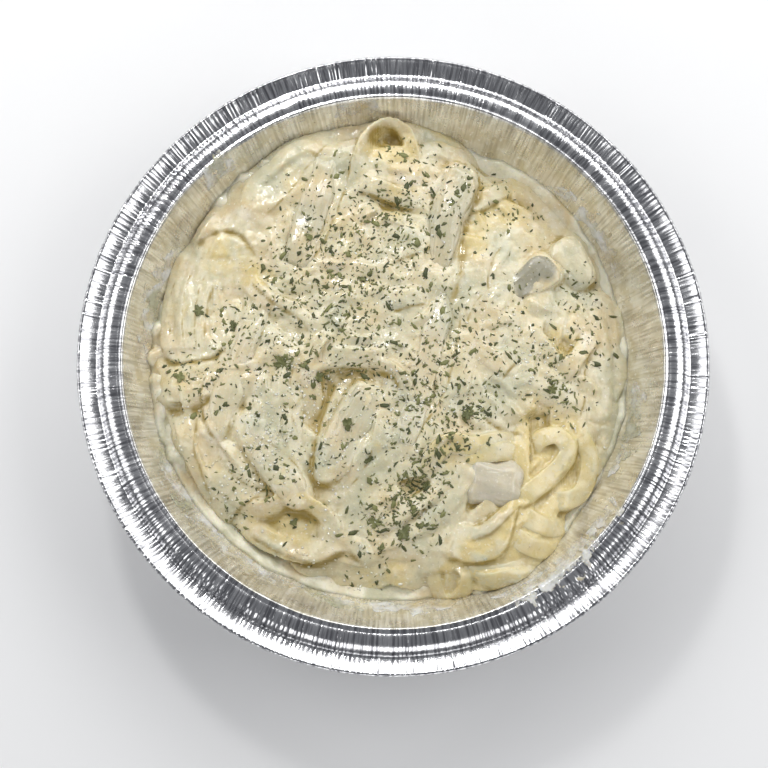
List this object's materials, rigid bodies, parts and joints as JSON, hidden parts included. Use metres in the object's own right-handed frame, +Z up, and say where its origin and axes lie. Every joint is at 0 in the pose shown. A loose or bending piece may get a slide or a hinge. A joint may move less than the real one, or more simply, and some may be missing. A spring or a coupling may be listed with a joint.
{
  "type": "fettuccine alfredo",
  "caption": "Fettuccine in cream sauce with chicken strips and chopped parsley, heaped in a round pleated foil take-out tray with a wide crimped rim.",
  "frame": {"origin": "centre of the tray's base, on the surface it stands on", "axes": "+Z up through the tray's centre; +X to the right and +Y away from a person who faces the tray"},
  "size_m": [0.235, 0.235, 0.0459],
  "materials": {
    "foil": "bright crinkled foil",
    "cream": "thick glossy cream sauce",
    "noodle": "wet egg pasta under sauce",
    "chicken": "cooked chicken, lightly sauced",
    "herb": "dried chopped parsley"
  },
  "bodies": {
    "root": {"foil_tray": "foil", "cream_sauce": "cream", "fettuccine": "noodle", "chicken_1": "chicken", "chicken_2": "chicken", "chicken_3": "chicken", "chicken_4": "chicken", "chicken_5": "chicken", "chicken_6": "chicken", "chicken_7": "chicken", "chicken_8": "chicken", "chicken_9": "chicken"}
  },
  "joints": []
}
